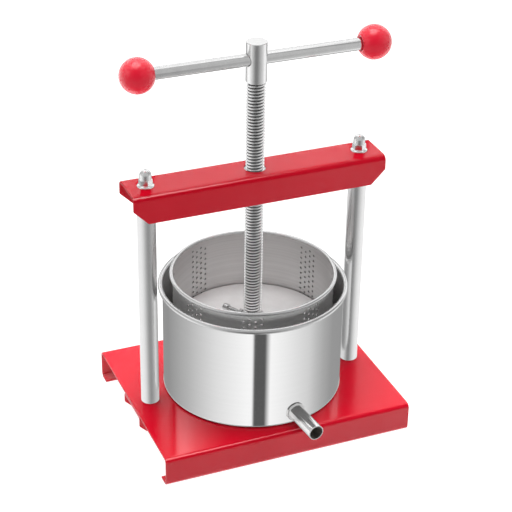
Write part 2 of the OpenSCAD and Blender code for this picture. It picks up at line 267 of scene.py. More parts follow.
def hexagon(flats, z0, z1, bore_r, chamfer=0.3):
    """A hexagonal nut's body with its corners turned off."""
    segs = 120
    sixth = math.pi / 3
    corner = flats / math.sqrt(3)
    rise = (corner - flats / 2) * 0.6
    steps = [0, 0.25, 0.5, 0.75, 1]
    heights = [z0 + rise * f for f in steps] + [z1 - rise * f for f in reversed(steps)]
    verts, faces = [], []
    for z in heights:
        down = min(z - z0, z1 - z)
        turned = flats / 2 - chamfer + (corner - flats / 2 + chamfer) * min(1, down / rise)
        for k in range(segs):
            a = 2 * math.pi * k / segs
            flat = flats / 2 / math.cos((a + sixth / 2) % sixth - sixth / 2)
            r = min(flat, turned) if down < rise else flat
            verts.append((r * math.cos(a), r * math.sin(a), z))
    for z in (z1, z0):
        verts += [(x, y, z) for x, y in circle(bore_r, segs)]
    rows = [list(range(i * segs, (i + 1) * segs)) for i in range(len(heights) + 2)]
    for a, b in list(zip(rows, rows[1:])) + [(rows[-1], rows[0])]:
        faces += [[a[k], a[(k + 1) % segs], b[(k + 1) % segs], b[k]] for k in range(segs)]
    return verts, faces


# One pitch of a thread: (share of the pitch, share of the depth)
THREAD_SHAPE = [(0.00, 0.0), (0.30, 0.0), (0.36, 0.10), (0.42, 0.55), (0.47, 0.90), (0.52, 1.0),
                (0.78, 1.0), (0.83, 0.90), (0.88, 0.55), (0.94, 0.10)]


def helix(root, crest, z0, z1, pitch, segs=48):
    """A thread's surface with the ridge fading in and out over half a turn at each end."""
    steps = int((z1 - z0) / pitch * segs)
    verts, faces = [], []
    for k in range(-segs, steps + 1):
        a = 2 * math.pi * k / segs
        fade = min(1, max(0, (k / segs + 0.3) * 2), max(0, (steps - k) / segs * 2 - 0.6))
        for u, h in THREAD_SHAPE:
            z = z0 + pitch * (k / segs + u)
            r = root + (crest - root) * h * fade
            verts.append((r * math.cos(a), r * math.sin(a), min(max(z, z0 - 0.2), z1 + 0.2)))
    m = len(THREAD_SHAPE)
    rows = steps + 1 + segs
    for i in range(rows - 1):
        for j in range(m):
            a, b = i * m + j, (i + 1) * m + j
            if j + 1 < m:
                faces.append([a, b, b + 1, a + 1])
            elif i + 1 + segs < rows:
                faces.append([a, b, (i + 1 + segs) * m, (i + segs) * m])
    return verts, faces


def wall_heights(z0, z1, first, quarter):
    """Heights of a wall's mesh rows, so that the rows of holes start at first."""
    heights, z = [], first
    while z - quarter > z0 + 0.2:
        z -= quarter
    while z < z1 - 0.2:
        heights.append(z)
        z += quarter
    return [z0] + heights + [z1]


def wall_angles(groups, columns, step, split):
    """Angles of a wall's mesh columns, and (column of the mesh, column of its group) per cell."""
    angles, cells = [], []
    for g, mid in enumerate(groups):
        start = mid - step * columns / 2
        for column in range(columns):
            cells.append((len(angles), column))
            angles += [start + step * (column + k / split) for k in range(split)]
        stop = mid + step * columns / 2
        span = (groups[(g + 1) % len(groups)] - mid) % (2 * math.pi) or 2 * math.pi
        gap = span - step * columns
        plain = max(2, round(gap / math.radians(1.6)))
        angles += [stop + gap * k / plain for k in range(plain)]
    return angles, cells


def tub_wall(inner, z0, z1, groups, rows, columns, pitch, step, top_row, hole_r, split=4):
    """A round wall with real perforations. Each hole sits in its own cell of the wall's mesh."""
    radii = (inner + TUB_T, inner)
    zs = wall_heights(z0, z1, top_row - rows * pitch, pitch / split)
    angles, cells = wall_angles(groups, columns, step, split)
    n, m = len(angles), len(zs)
    verts = [(r * math.cos(a), r * math.sin(a), z) for r in radii for z in zs for a in angles]
    taken, faces = set(), []

    def at(layer, i, j):
        return layer * n * m + j * n + i % n

    # Round a cell's edge, from the middle of its far side
    edge_spots = ([(split, q) for q in range(split // 2, split)]
                  + [(p, split) for p in range(split, 0, -1)]
                  + [(0, q) for q in range(split, 0, -1)]
                  + [(p, 0) for p in range(split)]
                  + [(split, q) for q in range(split // 2)])
    count = len(edge_spots)
    for i, column in cells:
        mid = angles[i] + step / 2
        for row in range(rows):
            hole_z = top_row - (row + (0.5 if column % 2 == 0 else 0)) * pitch
            j = min(range(m), key=lambda q: abs(zs[q] - (hole_z - pitch / 2)))
            taken |= {((i + p) % n, j + q) for p in range(split) for q in range(split)}
            loops = []
            for layer, r in enumerate(radii):
                first = len(verts)
                for x, y in circle(hole_r, count):
                    a = mid + math.asin(x / r)
                    verts.append((r * math.cos(a), r * math.sin(a), hole_z + y))
                loops.append([first + k for k in range(count)])
                edge = [at(layer, i + p, j + q) for p, q in edge_spots]
                faces += [[edge[k], edge[(k + 1) % count], first + (k + 1) % count, first + k]
                          for k in range(count)]
            for k in range(count):
                q = (k + 1) % count
                faces.append([loops[0][k], loops[0][q], loops[1][q], loops[1][k]])
    for layer in (0, 1):
        for j in range(m - 1):
            faces += [[at(layer, i, j), at(layer, i + 1, j), at(layer, i + 1, j + 1), at(layer, i, j + 1)]
                      for i in range(n) if (i, j) not in taken]
    for j in (0, m - 1):
        faces += [[at(0, i, j), at(0, i + 1, j), at(1, i + 1, j), at(1, i, j)] for i in range(n)]
    return verts, faces


def curl(inner, top, bead):
    """Profile of a rolled rim, from the wall over the top and round to its free edge."""
    r = bead / 2
    wall_side, free_edge, count = 180, -112, 28
    angles = [math.radians(wall_side + (free_edge - wall_side) * k / count) for k in range(count + 1)]
    faces = [[(inner + r + s * math.cos(a), top - r + s * math.sin(a)) for a in angles]
             for s in (r, r - TUB_T)]
    return faces[0] + faces[1][::-1]


# Materials

class Nodes:
    """Short names for a material's or the world's node tree."""

    def __init__(self, tree):
        self.tree = tree

    def add(self, kind, **values):
        node = self.tree.nodes.new(kind)
        for key, value in values.items():
            if key in node.inputs:
                node.inputs[key].default_value = value
            else:
                setattr(node, key.lower(), value)
        return node

    def link(self, a, b):
        self.tree.links.new(a, b)

    def grain(self, scale, detail=2.0):
        """Noise stretched by scale in the piece's own coordinates."""
        coord = self.add("ShaderNodeTexCoord")
        mapping = self.add("ShaderNodeMapping", Scale=scale)
        self.link(coord.outputs["Object"], mapping.inputs["Vector"])
        noise = self.add("ShaderNodeTexNoise", Scale=1.0, Detail=detail)
        self.link(mapping.outputs["Vector"], noise.inputs["Vector"])
        return noise.outputs["Fac"]

    def spread(self, value, low, high, from_low=0.35, from_high=0.65):
        node = self.add("ShaderNodeMapRange")
        node.inputs["From Min"].default_value = from_low
        node.inputs["From Max"].default_value = from_high
        node.inputs["To Min"].default_value = low
        node.inputs["To Max"].default_value = high
        self.link(value, node.inputs["Value"])
        return node.outputs["Result"]

    def tint(self, value, low, high):
        ramp = self.add("ShaderNodeValToRGB")
        for element, position, colour in zip(ramp.color_ramp.elements, (0.35, 0.65), (low, high)):
            element.position = position
            element.color = (*colour, 1)
        self.link(value, ramp.inputs["Fac"])
        return ramp.outputs["Color"]

    def combine(self, operation, a, b):
        """Two numbers or outputs, added, multiplied or compared."""
        node = self.add("ShaderNodeMath", Operation=operation)
        for socket, value in zip(node.inputs, (a, b)):
            if isinstance(value, (int, float)):
                socket.default_value = value
            else:
                self.link(value, socket)
        return node.outputs[0]

    def bump(self, value, strength, distance, shader):
        bump = self.add("ShaderNodeBump", Strength=strength, Distance=distance)
        self.link(value, bump.inputs["Height"])
        self.link(bump.outputs["Normal"], shader.inputs["Normal"])


def material(name, **fixed):
    mat = bpy.data.materials.new(name)
    mat.use_nodes = True
    shader = mat.node_tree.nodes["Principled BSDF"]
    for key, value in fixed.items():
        shader.inputs[key.replace("_", " ")].default_value = value
    return mat, Nodes(mat.node_tree), shader


def grey(value, warm=0.0):
    return (value + warm, value, value - warm)


def metal(name, low, high, rough, grain, bump=0.0, metallic=1.0):
    """Metal with fine lines along one way of its grain; metallic below 1 mixes in a matt part."""
    mat, nt, shader = material(name, Metallic=metallic)
    lines = nt.grain(grain, 3.0)
    clouds = nt.grain((14, 14, 14))
    nt.link(nt.tint(lines, low, high), shader.inputs["Base Color"])
    fine, broad = ([value * share for value in rough] for share in (0.6, 0.4))
    nt.link(nt.combine("ADD", nt.spread(lines, *fine), nt.spread(clouds, *broad)),
            shader.inputs["Roughness"])
    if bump:
        nt.bump(lines, bump, 0.00002, shader)
    return mat


def red_finish(name, low, high, cloud_scale, cloud_detail, fine_scale, fine_detail, rough, bump):
    """A red gloss with slow clouds of colour and a fine peel in its surface."""
    mat, nt, shader = material(name, IOR=1.5)
    nt.link(nt.tint(nt.grain((cloud_scale,) * 3, cloud_detail), low, high), shader.inputs["Base Color"])
    peel = nt.grain((fine_scale,) * 3, fine_detail)
    nt.link(nt.spread(peel, *rough), shader.inputs["Roughness"])
    nt.bump(peel, bump, 0.00003, shader)
    return mat


EVEN = (60, 60, 60)
RED = red_finish("red_paint", (0.62, 0.0015, 0.016), (0.68, 0.003, 0.020), 9, 3.0, 420, 1.5,
                 (0.10, 0.14), 0.03)
BALL = red_finish("red_plastic", (0.80, 0.010, 0.034), (0.87, 0.013, 0.041), 20, 2.0, 900, 2.0,
                  (0.20, 0.26), 0.04)
MIRROR = metal("polished_steel", grey(0.885), grey(0.895), (0.05, 0.07), (4, 4, 500))
INSIDE = metal("barrel_inside", grey(0.58, 0.004), grey(0.62, 0.004), (0.34, 0.40), (5, 5, 700), 0.02, 0.6)
SATIN = metal("satin_steel", grey(0.92, 0.004), grey(0.95, 0.004), (0.28, 0.34), (5, 5, 700), 0.02, 0.3)
# The basket's inside is a darker copy of its outside steel: painted shade inside the basket
LINING_SHADE = metal("basket_inside_shade", grey(0.70, 0.005), grey(0.76, 0.004), (0.42, 0.50), (5, 5, 700), 0.01, 0.6)
DISC = metal("satin_disc", grey(0.82, 0.003), grey(0.86, 0.002), (0.38, 0.44), (90, 90, 90), 0, 0.3)
TURNED = metal("turned_steel", grey(0.66), grey(0.72), (0.22, 0.30), (8, 8, 1400), 0.02)
BRIGHT = metal("bright_steel", grey(0.88), grey(0.90), (0.24, 0.26), (6, 6, 60))
CHROME = metal("plated_nuts", grey(0.84), grey(0.88), (0.18, 0.24), EVEN)
RIM = metal("rolled_rim", grey(0.72), grey(0.76), (0.09, 0.13), (5, 5, 60))
PIPE = metal("spout_steel", grey(0.84, 0.004), grey(0.88, 0.004), (0.10, 0.14), EVEN, 0, 0.87)
# Near-black steel for the inside of the spout: painted shade in its bore
BORE_SHADE = metal("spout_bore_shade", grey(0.028, 0.005), grey(0.042, 0.006), (0.45, 0.55), EVEN)
THREAD = metal("thread_steel", grey(0.93), grey(0.95), (0.20, 0.24), EVEN)
# Near-black steel for the roots of the screw's thread: painted shade in its grooves
GROOVE_SHADE = metal("thread_groove_shade", grey(0.13), grey(0.17), (0.40, 0.50), EVEN)
# Near-black steel for the walls of the basket's holes: painted shade inside the perforations
HOLE_SHADE = metal("hole_wall_shade", grey(0.04), grey(0.06), (0.40, 0.50), EVEN)
HEAD = metal("head_steel", grey(0.89), grey(0.91), (0.20, 0.22), (6, 6, 90))
BAR = metal("bright_bar", grey(0.80), grey(0.84), (0.06, 0.09), (90, 6, 6))


def paint_faces(obj, mat, chosen, place=ON_AXIS):
    """Gives a material to the faces whose middle (radius, height) in a place's frame is chosen."""
    obj.data.materials.append(mat)
    inverse = place.inverted()
    for poly in obj.data.polygons:
        spot = inverse @ (poly.center / MM)
        if chosen(math.hypot(spot.x, spot.y), spot.z):
            poly.material_index = len(obj.data.materials) - 1


# The fixed frame

def base_plate():
    half = extent_of("base_plate", "y") / 2
    lip = half - BASE_LIP
    path = [(-lip, 0), (-half, 0), (-half, BASE_TOP), (half, BASE_TOP), (half, 0), (lip, 0)]
    shape = along_x(sheet_section(path, BASE_FOLD_R), extent_of("base_plate", "x"))
    obj = build("base_plate_folded", shape, RED, "frame", ("base_plate",))
    soften(obj, 0.5)
    return obj


def channel(name, node, cut, fold_r, holes, edge):
    """An inverted channel of a node's size, with cut corners and holes in its web."""
    top, half, length = end_of(node, "z", HIGH), extent_of(node, "y") / 2, extent_of(node, "x")
    bottom = top - extent_of(node, "z")
    path = [(-half, bottom), (-half, top), (half, top), (half, bottom)]
    obj = build(name, along_x(sheet_section(path, fold_r), length), RED, "frame", (node,))
    corner_cuts(obj, length, bottom, cut)
    drill(obj, *holes)
    soften(obj, edge)
    return obj


def upright(x, y, z=0):
    """A place that stands upright at a point."""
    return Matrix.Translation((x, y, z))


ROD_R = 4
ROD_HOLE_R = 4.2
SCREW_HOLE_R = 11.5
SCREW_NUT_FLATS = 32

# The nuts on the tie rods, with heights from the face that they stand on
NUT_FLATS = 13
NUT_BORE_R = ROD_R + RUNNING
FLANGE_R = 9
FLANGE_EDGE = 0.9
FLANGE_H = 2.6
HEX_FOOT = 2
NUT_H = 8
CAP_HEX_TOP = 8.3
DOME_R = 6.3
DOME_FOOT = 7.5
DOME_HOLLOW_TOP = 10
DOME_STRAIGHT_TOP = 12


def nut_flange(z, way):
    """A nut's flange on a face at height z, rising (way 1) or hanging (way -1) from it."""
    edge, top = z + way * FLANGE_EDGE, z + way * FLANGE_H
    profile = [(NUT_BORE_R, z), (FLANGE_R, z, 0.3), (FLANGE_R, edge, 0.35), (DOME_R, top, 0.4),
               (NUT_BORE_R, top)]
    return revolve(fillet(profile, closed=True), closed=True)


def nut_dome(z):
    quarter = [math.pi / 2 * k / 14 for k in range(14)]
    arc = [(DOME_R * math.cos(a), z + DOME_STRAIGHT_TOP + DOME_R * math.sin(a)) for a in quarter]
    top = z + DOME_STRAIGHT_TOP + DOME_R
    return revolve([(NUT_BORE_R, z + DOME_FOOT), (DOME_R, z + DOME_FOOT)] + arc
                   + [(0, top), (0, z + DOME_HOLLOW_TOP), (NUT_BORE_R, z + DOME_HOLLOW_TOP)])


def post_and_rod(word):
    """A post with the tie rod through it, the cap nut on top and the nut below."""
    post, rod = word + "_post", word + "_tie_rod"
    place = upright(middle_of(post, "x"), AXIS_Y)
    outer = extent_of(post, "x") / 2
    foot, top = end_of(post, "z", LOW), end_of(post, "z", HIGH)
    tube = fillet([(outer - POST_WALL, foot), (outer, foot, 0.5), (outer, top, 0.5),
                   (outer - POST_WALL, top)], closed=True)
    post_obj = build(word + "_post_tube", revolve(tube, closed=True), BRIGHT, "frame", (post,),
                     place)
    foot, top = end_of(rod, "z", LOW), end_of(rod, "z", HIGH)
    bar = fillet([(0, foot), (ROD_R, foot, 0.6), (ROD_R, top, 0.6), (0, top)])
    rod_obj = build(word + "_tie_rod_bar", revolve(bar, 48), TURNED, "frame", (rod,), place)
    z = BEAM_TOP
    cap = merged(nut_flange(z, 1), hexagon(NUT_FLATS, z + HEX_FOOT, z + CAP_HEX_TOP, NUT_BORE_R),
                 nut_dome(z))
    build(word + "_cap_nut_dome", cap, CHROME, "frame", (word + "_cap_nut",), place,
          NUT_SHARP_ANGLE)
    z = BASE_TOP - 2 * SHEET_T
    nut = merged(nut_flange(z, -1), hexagon(NUT_FLATS, z - NUT_H, z - HEX_FOOT, NUT_BORE_R))
    nut_obj = build(word + "_lower_nut_hex", nut, TURNED, "frame", (word + "_lower_nut",),
                    place, NUT_SHARP_ANGLE)
    for obj in (post_obj, rod_obj, nut_obj):
        obj.visible_glossy = False
    return post_obj


def screw_nut():
    low, high = end_of("screw_nut", "z", LOW), end_of("screw_nut", "z", HIGH)
    shape = hexagon(SCREW_NUT_FLATS, low, high, SCREW_R + RUNNING, 0.6)
    build("screw_nut_hex", shape, TURNED, "frame", ("screw_nut",), sharp=NUT_SHARP_ANGLE)


WORDS = ("left", "right")
ALL_THROUGH = 2000
rod_holes = [(upright(middle_of(word + "_post", "x"), AXIS_Y), ROD_HOLE_R, ALL_THROUGH) for word in WORDS]
screw_hole = (upright(0, AXIS_Y, BEAM_TOP), SCREW_HOLE_R, 30)
base = base_plate()
stiffener = channel("base_stiffener_channel", "base_stiffener", cut=8, fold_r=4, holes=rod_holes,
                    edge=0.4)
beam = channel("crossbeam_channel", "crossbeam", cut=16, fold_r=6.5, holes=rod_holes + [screw_hole],
               edge=0.5)
screw_nut()
posts = [post_and_rod(word) for word in WORDS]


# The juice barrel

WALL_SEGS = 224
SPOUT_TURN = math.radians(6)
SPOUT_Z = 15.5
SPOUT_R = 8.5
SPOUT_BORE_R = 7.5
SPOUT_STEP = 0.25
SPOUT_REACH = 145
SPOUT_HOLE_R = 8.6
SPOUT_CELL = 24
SPOUT_CELL_TURN = math.radians(13.9)
FLOOR_RIM_W = 5
FLOOR_SLOPE_W = 2
TO_SPOUT = (ON_AXIS @ Matrix.Rotation(SPOUT_TURN, 4, "Z") @ upright(0, 0, BASE_TOP + SPOUT_Z)
            @ Matrix.Rotation(math.pi / 2, 4, "X"))


def round_normals(obj):
    """Exact normals on a round wall, so that a mirror finish shows no facets."""
    mesh = obj.data
    axis = Vector((0, AXIS_Y * MM, 0))
    normals = [None] * len(mesh.loops)
    for poly in mesh.polygons:
        spots = [mesh.vertices[v].co - axis for v in poly.vertices]
        radii = [math.hypot(p.x, p.y) for p in spots]
        round_face = max(radii) - min(radii) < 1e-6 and abs(poly.normal.z) < 0.5
        for loop, p in zip(poly.loop_indices, spots):
            out = Vector((p.x, p.y, 0)).normalized()
            if not round_face:
                normals[loop] = poly.normal
            else:
                normals[loop] = out if out.dot(poly.normal) > 0 else -out
    mesh.normals_split_custom_set(normals)


def barrel_wall():
    bottom = BASE_TOP + BARREL_LIFT
    shape = tub_wall(
        BARREL_INNER_R, bottom, BARREL_TOP - BARREL_BEAD / 2, [SPOUT_TURN - math.pi / 2], rows=1,
        columns=1, pitch=SPOUT_CELL, step=SPOUT_CELL_TURN, top_row=BASE_TOP + SPOUT_Z + SPOUT_CELL / 2,
        hole_r=SPOUT_HOLE_R, split=8)
    obj = build("barrel_wall_polished", shape, MIRROR, "barrel", ("barrel_wall",))
    paint_faces(obj, INSIDE, lambda r, z: r < BARREL_INNER_R + TUB_T / 2)
    round_normals(obj)
    edge = circle(0.55, 16, BARREL_INNER_R + 0.6, bottom + 0.6)
    build("barrel_foot_edge", revolve(edge, WALL_SEGS, True), RIM, "barrel", ())
    rim = curl(BARREL_INNER_R, BARREL_TOP, BARREL_BEAD)
    build("barrel_rolled_rim", revolve(rim, WALL_SEGS, True), RIM, "barrel", ())
    return obj


def barrel_floor():
    """A pressed floor: its middle lies on the base, and its rim carries the wall."""
    z, r = BASE_TOP, BARREL_INNER_R - SEAT_GAP
    rim, dish, lean = r - FLOOR_RIM_W, r - FLOOR_RIM_W - FLOOR_SLOPE_W, 0.5
    profile = fillet([
        (0, z), (dish, z, 1), (rim, z + BARREL_LIFT, 1), (r, z + BARREL_LIFT),
        (r, z + BARREL_LIFT + FLOOR_T), (rim - lean, z + BARREL_LIFT + FLOOR_T, 1),
        (dish - lean, z + FLOOR_T, 1), (0, z + FLOOR_T)])
    build("barrel_floor_plate", revolve(profile, 192), SATIN, "barrel", ("barrel_floor",))


def spout_and_collar():
    root_r, start, shoulder, reach = SPOUT_R - SPOUT_STEP, BARREL_INNER_R - 2, 102.2, SPOUT_REACH
    tube = fillet([(SPOUT_BORE_R, start), (root_r, start, 0.2), (root_r, shoulder), (SPOUT_R, shoulder),
                   (SPOUT_R, reach, 0.45), (SPOUT_BORE_R, reach, 0.45)], closed=True)
    pipe = build("spout_pipe", revolve(tube, closed=True), PIPE, "barrel", ("spout_tube",),
                 TO_SPOUT)
    # Painted shade: the faces of the bore get the near-black steel
    paint_faces(pipe, BORE_SHADE, lambda r, z: r < SPOUT_BORE_R + SPOUT_STEP / 5, TO_SPOUT)
    bore, outer, start, end = root_r + RUNNING, 10.8, 98.6, shoulder + RUNNING
    ring = fillet([(bore, start), (outer, start), (outer, end, 1.1), (bore, end, 0.3)], closed=True,
                  steps=6)
    collar = build("spout_collar_ring", revolve(ring, closed=True), PIPE, "barrel", ("spout_collar",),
                   TO_SPOUT)
    return pipe, collar


barrel = barrel_wall()
barrel_floor()
spout, spout_collar = spout_and_collar()


# The basket

HOLE_GROUPS = 8
HOLE_ROWS = 17
HOLE_COLUMNS = 4
HOLE_R = 1.3
ROW_PITCH = 6.6
COLUMN_PITCH = 6.4
FIRST_ROW = 9.2


def basket_wall():
    outer = BASKET_INNER_R + TUB_T
    between = 2 * math.pi / HOLE_GROUPS
    shape = tub_wall(
        BASKET_INNER_R, BASKET_BOTTOM, BASKET_TOP - BASKET_BEAD / 2,
        [between * (k + 0.5) for k in range(HOLE_GROUPS)], HOLE_ROWS, HOLE_COLUMNS, ROW_PITCH,
        COLUMN_PITCH / outer, BASKET_TOP - FIRST_ROW, HOLE_R)
    obj = build("basket_wall_perforated", shape, SATIN, "basket", ("basket_wall",))
    half_way = BASKET_INNER_R + TUB_T / 2
    # Painted shade: the inner face of the basket's wall gets the darker copy of its steel
    paint_faces(obj, LINING_SHADE, lambda r, z: r < half_way - 0.1)
    # Painted shade: the walls of the holes get near-black steel, so that the holes read dark
    paint_faces(obj, HOLE_SHADE, lambda r, z: (abs(r - half_way) < 0.15
                                         and BASKET_BOTTOM + 1 < z < BASKET_TOP - 3))
    round_normals(obj)
    rim = curl(BASKET_INNER_R, BASKET_TOP, BASKET_BEAD)
    build("basket_rolled_rim", revolve(rim, WALL_SEGS, True), RIM, "basket", ())


def basket_floor():
    z, r = BASKET_BOTTOM, BASKET_INNER_R - SEAT_GAP
    profile = fillet([(0, z), (r, z, 0.3), (r, z + FLOOR_T, 0.3), (0, z + FLOOR_T)])
    build("basket_floor_plate", revolve(profile, 128), SATIN, "basket", ("basket_floor",))


basket_wall()
basket_floor()


# The pressing disc

DISC_T = 3
DISC_R = 86
FOOT_R = 7.5
COLLAR_R = 14
COLLAR_H = 12.5
RETAINER_Z = 6.5
RETAINER_TURN = math.radians(121)
RETAINER_REACH = 39.5
RETAINER_HEAD_R = 4
RETAINER_HEAD_L = 6
TO_RETAINER = (ON_AXIS @ Matrix.Rotation(RETAINER_TURN, 4, "Z")
               @ upright(0, 0, DISC_TOP + RETAINER_Z) @ Matrix.Rotation(math.pi / 2, 4, "Y"))


def pressing_disc():
    z = DISC_TOP
    profile = fillet([(0, z - DISC_T), (DISC_R, z - DISC_T, 0.9), (DISC_R, z, 0.9), (0, z)], steps=5)
    build("pressing_disc_plate", revolve(profile, WALL_SEGS), DISC, "press_plate", ("pressing_disc",))
    bore, boss, weld, slope = FOOT_R + RUNNING, COLLAR_R, 0.8, 2.5
    ring = fillet([(bore, z), (boss + weld, z), (boss, z + weld, 0.3), (boss, z + COLLAR_H - slope, 0.4),
                   (boss - slope, z + COLLAR_H, 0.4), (bore, z + COLLAR_H)], closed=True)
    build("disc_collar_boss", revolve(ring, closed=True), TURNED, "press_plate", ("disc_collar",))


def retaining_screw():
    """The set screw that runs in the foot's groove: socket head, threaded shank and lock nut."""
    end, under = RETAINER_REACH, RETAINER_REACH - RETAINER_HEAD_L
    socket_r, socket_depth, shank_r, tip = 2.3, 3.1, 2.15, 5.8
    head = fillet([(0, end - socket_depth), (socket_r, end - socket_depth), (socket_r, end, 0.2),
                   (RETAINER_HEAD_R, end, 0.6), (RETAINER_HEAD_R, under, 0.5), (2.2, under)])
    shank = fillet([(0, tip), (shank_r, tip, 0.3), (shank_r, under + 0.5), (0, under + 0.5)])
    thread = helix(root=2.1, crest=2.5, z0=tip + 1, z1=under - 0.3, pitch=0.8, segs=24)
    build("retaining_screw_bolt", merged(revolve(head, 48), revolve(shank, 48), thread), TURNED,
          "press_plate", ("retaining_screw",), TO_RETAINER)
    nut_start, nut_t, nut_flats = COLLAR_R + 0.3, 4, 8
    nut = hexagon(nut_flats, nut_start, nut_start + nut_t, 2.5 + RUNNING)
    build("retaining_lock_nut_hex", nut, TURNED, "press_plate", ("retaining_lock_nut",),
          TO_RETAINER, NUT_SHARP_ANGLE)


pressing_disc()
retaining_screw()


# The screw and its handle

ROOT_R = 8.6
THREAD_PITCH = 3.5
GROOVE_W = 5.8
HEAD_R = 11
BAR_R = 6.5
KNOB_R = 18.5
KNOB_FLAT_R = 9
KNOB_FLAT_Z = -16.16
KNOB_X = 129.8
BAR_HALF = extent_of("handle_bar", "x") / 2
ON_BAR = ON_AXIS @ upright(BAR_SHIFT, 0, BAR_Z)
ACROSS = Matrix.Rotation(math.pi / 2, 4, "Y")


def press_screw():
    """The thread on its core, with the grooved foot below and the spigot above."""
    z, core_r, groove_r, spigot_r = DISC_TOP, ROOT_R - 0.02, FOOT_R - 2, 7
    groove_low, groove_high = z + RETAINER_Z - GROOVE_W / 2, z + RETAINER_Z + GROOVE_W / 2
    foot_top, spigot_top = z + COLLAR_H + 0.3, BAR_Z - 10
    profile = [(0, z), (FOOT_R, z), (FOOT_R, groove_low), (groove_r, groove_low), (groove_r, groove_high),
               (FOOT_R, groove_high), (FOOT_R, foot_top), (core_r, foot_top), (core_r, HEAD_BOTTOM),
               (spigot_r, HEAD_BOTTOM), (spigot_r, spigot_top), (0, spigot_top)]
    thread = helix(ROOT_R, SCREW_R, foot_top + 0.2, HEAD_BOTTOM - 0.2, THREAD_PITCH)
    obj = build("press_screw_threaded", merged(revolve(profile, 64), thread), THREAD, "screw",
                ("press_screw",))
    # Painted shade: the faces at the thread's root, above the foot, get the near-black groove steel
    paint_faces(obj, GROOVE_SHADE, lambda r, height: r < ROOT_R + 0.25 and height > z + 14)


def screw_head():
    profile = fillet([(0, HEAD_BOTTOM), (HEAD_R, HEAD_BOTTOM, 0.5), (HEAD_R, HEAD_TOP, 1.1), (0, HEAD_TOP)])
    obj = build("screw_head_turned", revolve(profile), HEAD, "screw", ("screw_head",))
    drill(obj, (ON_AXIS @ upright(0, 0, BAR_Z) @ ACROSS, BAR_R + 0.5, 60))
    soften(obj, 0.45)


def handle():
    """The tommy bar and its two ball knobs, each ball with a flat round the bar."""
    rod = fillet([(0, -BAR_HALF), (BAR_R, -BAR_HALF, 0.8), (BAR_R, BAR_HALF, 0.8), (0, BAR_HALF)])
    build("handle_tommy_bar", revolve(rod), BAR, "handle", ("handle_bar",),
          ON_BAR @ ACROSS)
    top, lowest = math.pi / 2, math.asin(-math.sqrt(KNOB_R ** 2 - KNOB_FLAT_R ** 2) / KNOB_R)
    arc = [top + (lowest - top) * k / 40 for k in range(40)]
    ball = [(KNOB_R * math.cos(a), KNOB_R * math.sin(a)) for a in arc]
    mouth, bore, bore_end = 7.9, BAR_R + 0.1, 5
    ball += fillet([ball[-1], (KNOB_FLAT_R, KNOB_FLAT_Z, 0.6), (mouth, KNOB_FLAT_Z, 0.25),
                    (bore, -14.9, 0.2), (bore, bore_end), (0, bore_end)])[1:]
    made = []
    for side, word in zip((-1, 1), WORDS):
        place = ON_BAR @ upright(side * KNOB_X, 0) @ Matrix.Rotation(side * math.pi / 2, 4, "Y")
        made.append(build(word + "_ball_knob", revolve(ball), BALL, "handle", (word + "_knob",),
                          place))
    return made


press_screw()
screw_head()
knobs = handle()


# The camera, at the photograph's viewing angle

scene = bpy.context.scene
pieces = [obj for obj in scene.objects if obj.type == "MESH"]
scene.view_settings.view_transform = "Standard"
scene.view_settings.look = "None"

FRONT = math.radians(-22.77)
CAMERA_RISE = math.radians(29.508)
CAMERA_ROLL = math.radians(0.965)
CAMERA_DISTANCE = 1702.22
CAMERA_RIGHT, CAMERA_UP = 2.66, -7.457
TARGET_Z = 200
FOCAL_PX = 1574.27
FRAME_PX = 512
SENSOR = 36


def make_camera():
    """The camera, and its place in millimetres."""
    back = Vector((math.sin(FRONT) * math.cos(CAMERA_RISE), -math.cos(FRONT) * math.cos(CAMERA_RISE),
                   math.sin(CAMERA_RISE)))
    right = (-back).cross(Vector((0, 0, 1))).normalized()
    up = right.cross(-back)
    right, up = (right * math.cos(CAMERA_ROLL) + up * math.sin(CAMERA_ROLL),
                 up * math.cos(CAMERA_ROLL) - right * math.sin(CAMERA_ROLL))
    eye = (Vector((0, AXIS_Y, TARGET_Z)) + back * CAMERA_DISTANCE + right * CAMERA_RIGHT
           + up * CAMERA_UP)
    cam = bpy.data.objects.new("camera", bpy.data.cameras.new("camera"))
    cam.matrix_world = Matrix((
        (right.x, up.x, back.x, eye.x * MM), (right.y, up.y, back.y, eye.y * MM),
        (right.z, up.z, back.z, eye.z * MM), (0, 0, 0, 1)))
    cam.data.sensor_width = SENSOR
    cam.data.lens = FOCAL_PX / FRAME_PX * SENSOR
    cam.data.clip_start, cam.data.clip_end = 0.05, 50
    scene.collection.objects.link(cam)
    return cam, eye


scene.camera, eye = make_camera()


# The studio: floor, wall, world and screens, in metres

RAYS = ("camera", "diffuse", "glossy", "transmission", "volume_scatter", "shadow")
WHITE = (1, 1, 1, 1)
BLACK = (0, 0, 0, 1)


def stage_mesh(name, shape, mat, *seen_by):
    """A stage object in metres that only some kinds of ray see."""
    verts, faces = shape
    mesh = bpy.data.meshes.new(name)
    mesh.from_pydata(verts, [], faces)
    mesh.validate()
    mesh.materials.append(mat)
    obj = bpy.data.objects.new(name, mesh)
    scene.collection.objects.link(obj)
    for kind in RAYS:
        setattr(obj, "visible_" + kind, kind in seen_by)
    return obj


def receivers(obj, lit):
    """Links a lamp or screen to the pieces that it lights."""
    group = bpy.data.collections.new(obj.name)
    for piece in lit:
        group.objects.link(piece)
    obj.light_linking.receiver_collection = group


